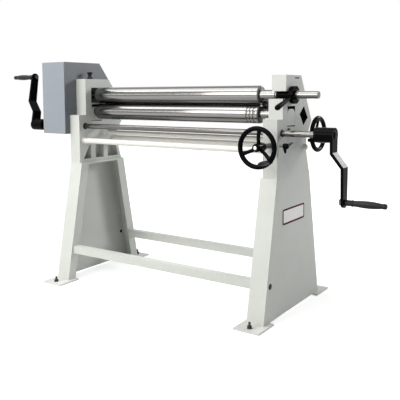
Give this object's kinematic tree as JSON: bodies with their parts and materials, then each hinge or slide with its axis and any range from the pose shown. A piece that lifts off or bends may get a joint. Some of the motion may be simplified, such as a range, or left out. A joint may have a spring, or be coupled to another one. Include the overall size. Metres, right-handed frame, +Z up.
{
  "type": "slip roll machine",
  "caption": "Floor-standing hand slip roll: geared rolls between end housings on sheet stands, with cranks, adjusting handwheels, a gear cover and a top roll that swings out.",
  "frame": {"origin": "on the floor, midway between the two stands and between their front and back feet", "axes": "+X along the rolls towards the right-hand crank, +Y to the back, +Z up; the operator stands at -Y"},
  "size_m": [2.36, 0.768, 1.212],
  "materials": {
    "housing_paint": "light warm grey machine enamel, semi-gloss",
    "stand_paint": "light warm grey enamel over folded sheet steel",
    "cover_paint": "grey enamel over sheet steel, satin",
    "bar_paint": "cream enamel over round bar",
    "black_enamel": "gloss black enamel",
    "black_plastic": "gloss black moulded handle",
    "ground_steel": "ground and polished roll steel",
    "machined_steel": "turned steel, light oil",
    "gear_steel": "cut gear steel with a film of grease",
    "dark_fastener": "black oxide steel",
    "bronze": "bearing bronze, dull",
    "foot_iron": "painted iron foot plate",
    "plate_face": "bare satin label plate"
  },
  "bodies": {
    "frame": {"stand_left": "stand_paint", "stand_right": "stand_paint", "foot_plates": "foot_iron", "levelling_bolts": "dark_fastener", "levelling_nuts": "dark_fastener", "stretcher_front": "stand_paint", "stretcher_rear": "stand_paint", "stretcher_bolts": "dark_fastener", "housing_left": "housing_paint", "housing_right": "housing_paint", "housing_bolts": "dark_fastener", "tie_bar_front": "bar_paint", "tie_bar_middle": "bar_paint", "tie_bar_rear": "bar_paint", "tie_bar_nuts": "bar_paint", "shaft_bushes": "dark_fastener", "adjuster_cover": "housing_paint", "oil_cup": "machined_steel", "name_plate": "plate_face", "gear_cover": "cover_paint", "cover_back_plate": "cover_paint", "gear_carrier": "bronze", "carrier_screws": "dark_fastener"},
    "gear_train": {"gear_hub": "gear_steel", "bull_gear": "gear_steel"},
    "cranks": {"drive_shaft": "ground_steel", "drive_pinion": "gear_steel", "crank_left": "black_enamel", "crank_right": "black_enamel", "crank_spindles": "machined_steel", "crank_nuts": "machined_steel"},
    "left_handle": {"crank_grip_left": "black_plastic"},
    "right_handle": {"crank_grip_right": "black_plastic"},
    "top_journal": {"journal_ring": "ground_steel"},
    "top_roll_set": {"top_roll": "ground_steel", "coupling_pin": "machined_steel"},
    "release": {"release_collar": "black_enamel", "release_lever": "black_enamel"},
    "lift_wheel": {"front_handwheel": "black_enamel", "worm_shaft": "machined_steel"},
    "lift_handle": {"front_wheel_grip": "black_plastic"},
    "eccentrics": {"eccentric_shaft": "machined_steel", "worm_wheel": "bronze"},
    "lower_bearings": {"lower_bearing_left": "housing_paint", "lower_bearing_right": "housing_paint", "lower_bushes": "bronze"},
    "lower_roll_set": {"lower_roll": "ground_steel", "lower_roll_gear": "gear_steel"},
    "rear_bearings": {"rear_bearing_left": "machined_steel", "rear_bearing_right": "machined_steel", "rear_bushes": "bronze", "rear_racks": "gear_steel"},
    "rear_roll_set": {"rear_roll": "ground_steel"},
    "rear_wheel": {"rear_handwheel": "black_enamel", "rear_wheel_shaft": "machined_steel", "rear_pinions": "gear_steel"},
    "rear_handle": {"rear_wheel_grip": "black_plastic"},
    "clamp": {"clamp_screw": "machined_steel", "clamp_lever": "black_enamel"},
    "knob": {"cap_knob": "black_plastic"}
  },
  "joints": [
    {"name": "gear_spin", "type": "hinge", "parent": "frame", "child": "gear_train", "pos_m": [0, -0.033, 1.025], "axis": [1, 0, 0], "continuous": true},
    {"name": "crank_spin", "type": "hinge", "parent": "frame", "child": "cranks", "pos_m": [0, -0.127, 0.852], "axis": [1, 0, 0], "continuous": true},
    {"name": "left_handle_spin", "type": "hinge", "parent": "cranks", "child": "left_handle", "pos_m": [-1.1, -0.07963, 1.13506], "axis": [1, 0, 0], "continuous": true},
    {"name": "right_handle_spin", "type": "hinge", "parent": "cranks", "child": "right_handle", "pos_m": [1, -0.127, 0.565], "axis": [1, 0, 0], "continuous": true},
    {"name": "top_swing", "type": "hinge", "parent": "frame", "child": "top_journal", "pos_m": [-0.682, -0.033, 1.025], "axis": [0, 0, -1], "range_deg": [0, 11]},
    {"name": "top_roll_spin", "type": "hinge", "parent": "top_journal", "child": "top_roll_set", "pos_m": [0, -0.033, 1.025], "axis": [1, 0, 0], "continuous": true},
    {"name": "release_turn", "type": "hinge", "parent": "top_journal", "child": "release", "pos_m": [0.66, -0.033, 1.025], "axis": [-1, 0, 0], "range_deg": [0, 72]},
    {"name": "lift_wheel_turn", "type": "hinge", "parent": "frame", "child": "lift_wheel", "pos_m": [0.614, -0.295, 0.798], "axis": [0, -1, 0], "range_deg": [-86.44, 430.22]},
    {"name": "lift_handle_spin", "type": "hinge", "parent": "lift_wheel", "child": "lift_handle", "pos_m": [0.6734, -0.348, 0.7386], "axis": [0, -1, 0], "continuous": true},
    {"name": "eccentric_turn", "type": "hinge", "parent": "frame", "child": "eccentrics", "pos_m": [0, -0.033, 0.846], "axis": [1, 0, 0], "range_deg": [-6, 29]},
    {"name": "lower_lift", "type": "slide", "parent": "frame", "child": "lower_bearings", "axis": [0, 0, 1], "range_m": [-0.005, 0.001]},
    {"name": "lower_roll_spin", "type": "hinge", "parent": "lower_bearings", "child": "lower_roll_set", "pos_m": [0, -0.033, 0.9335], "axis": [1, 0, 0], "continuous": true},
    {"name": "rear_lift", "type": "slide", "parent": "frame", "child": "rear_bearings", "axis": [0, -0.6074, 0.7944], "range_m": [-0.07, 0.008]},
    {"name": "rear_roll_spin", "type": "hinge", "parent": "rear_bearings", "child": "rear_roll_set", "pos_m": [0, 0.064, 0.976], "axis": [1, 0, 0], "continuous": true},
    {"name": "rear_wheel_turn", "type": "hinge", "parent": "frame", "child": "rear_wheel", "pos_m": [0.72, 0.117, 0.838], "axis": [1, 0, 0], "range_deg": [-267.88, 31.06]},
    {"name": "rear_handle_spin", "type": "hinge", "parent": "rear_wheel", "child": "rear_handle", "pos_m": [0.77, 0.04558, 0.81201], "axis": [1, 0, 0], "continuous": true},
    {"name": "clamp_turn", "type": "hinge", "parent": "frame", "child": "clamp", "pos_m": [0.68, -0.16, 0.798], "axis": [1, 0, 0], "range_deg": [-35, 24]},
    {"name": "knob_turn", "type": "hinge", "parent": "frame", "child": "knob", "pos_m": [-0.614, -0.047, 1.13], "axis": [0, 0, 1], "continuous": true}
  ],
  "couplings": [
    {"joint": "crank_spin", "follows": "gear_spin", "ratio": -5.0769},
    {"joint": "top_roll_spin", "follows": "gear_spin", "ratio": 1},
    {"joint": "lower_roll_spin", "follows": "gear_spin", "ratio": -1},
    {"joint": "lift_wheel_turn", "follows": "lower_lift", "rad_per_m": -1500},
    {"joint": "eccentric_turn", "follows": "lower_lift", "rad_per_m": -100},
    {"joint": "rear_wheel_turn", "follows": "rear_lift", "rad_per_m": 66.667}
  ]
}
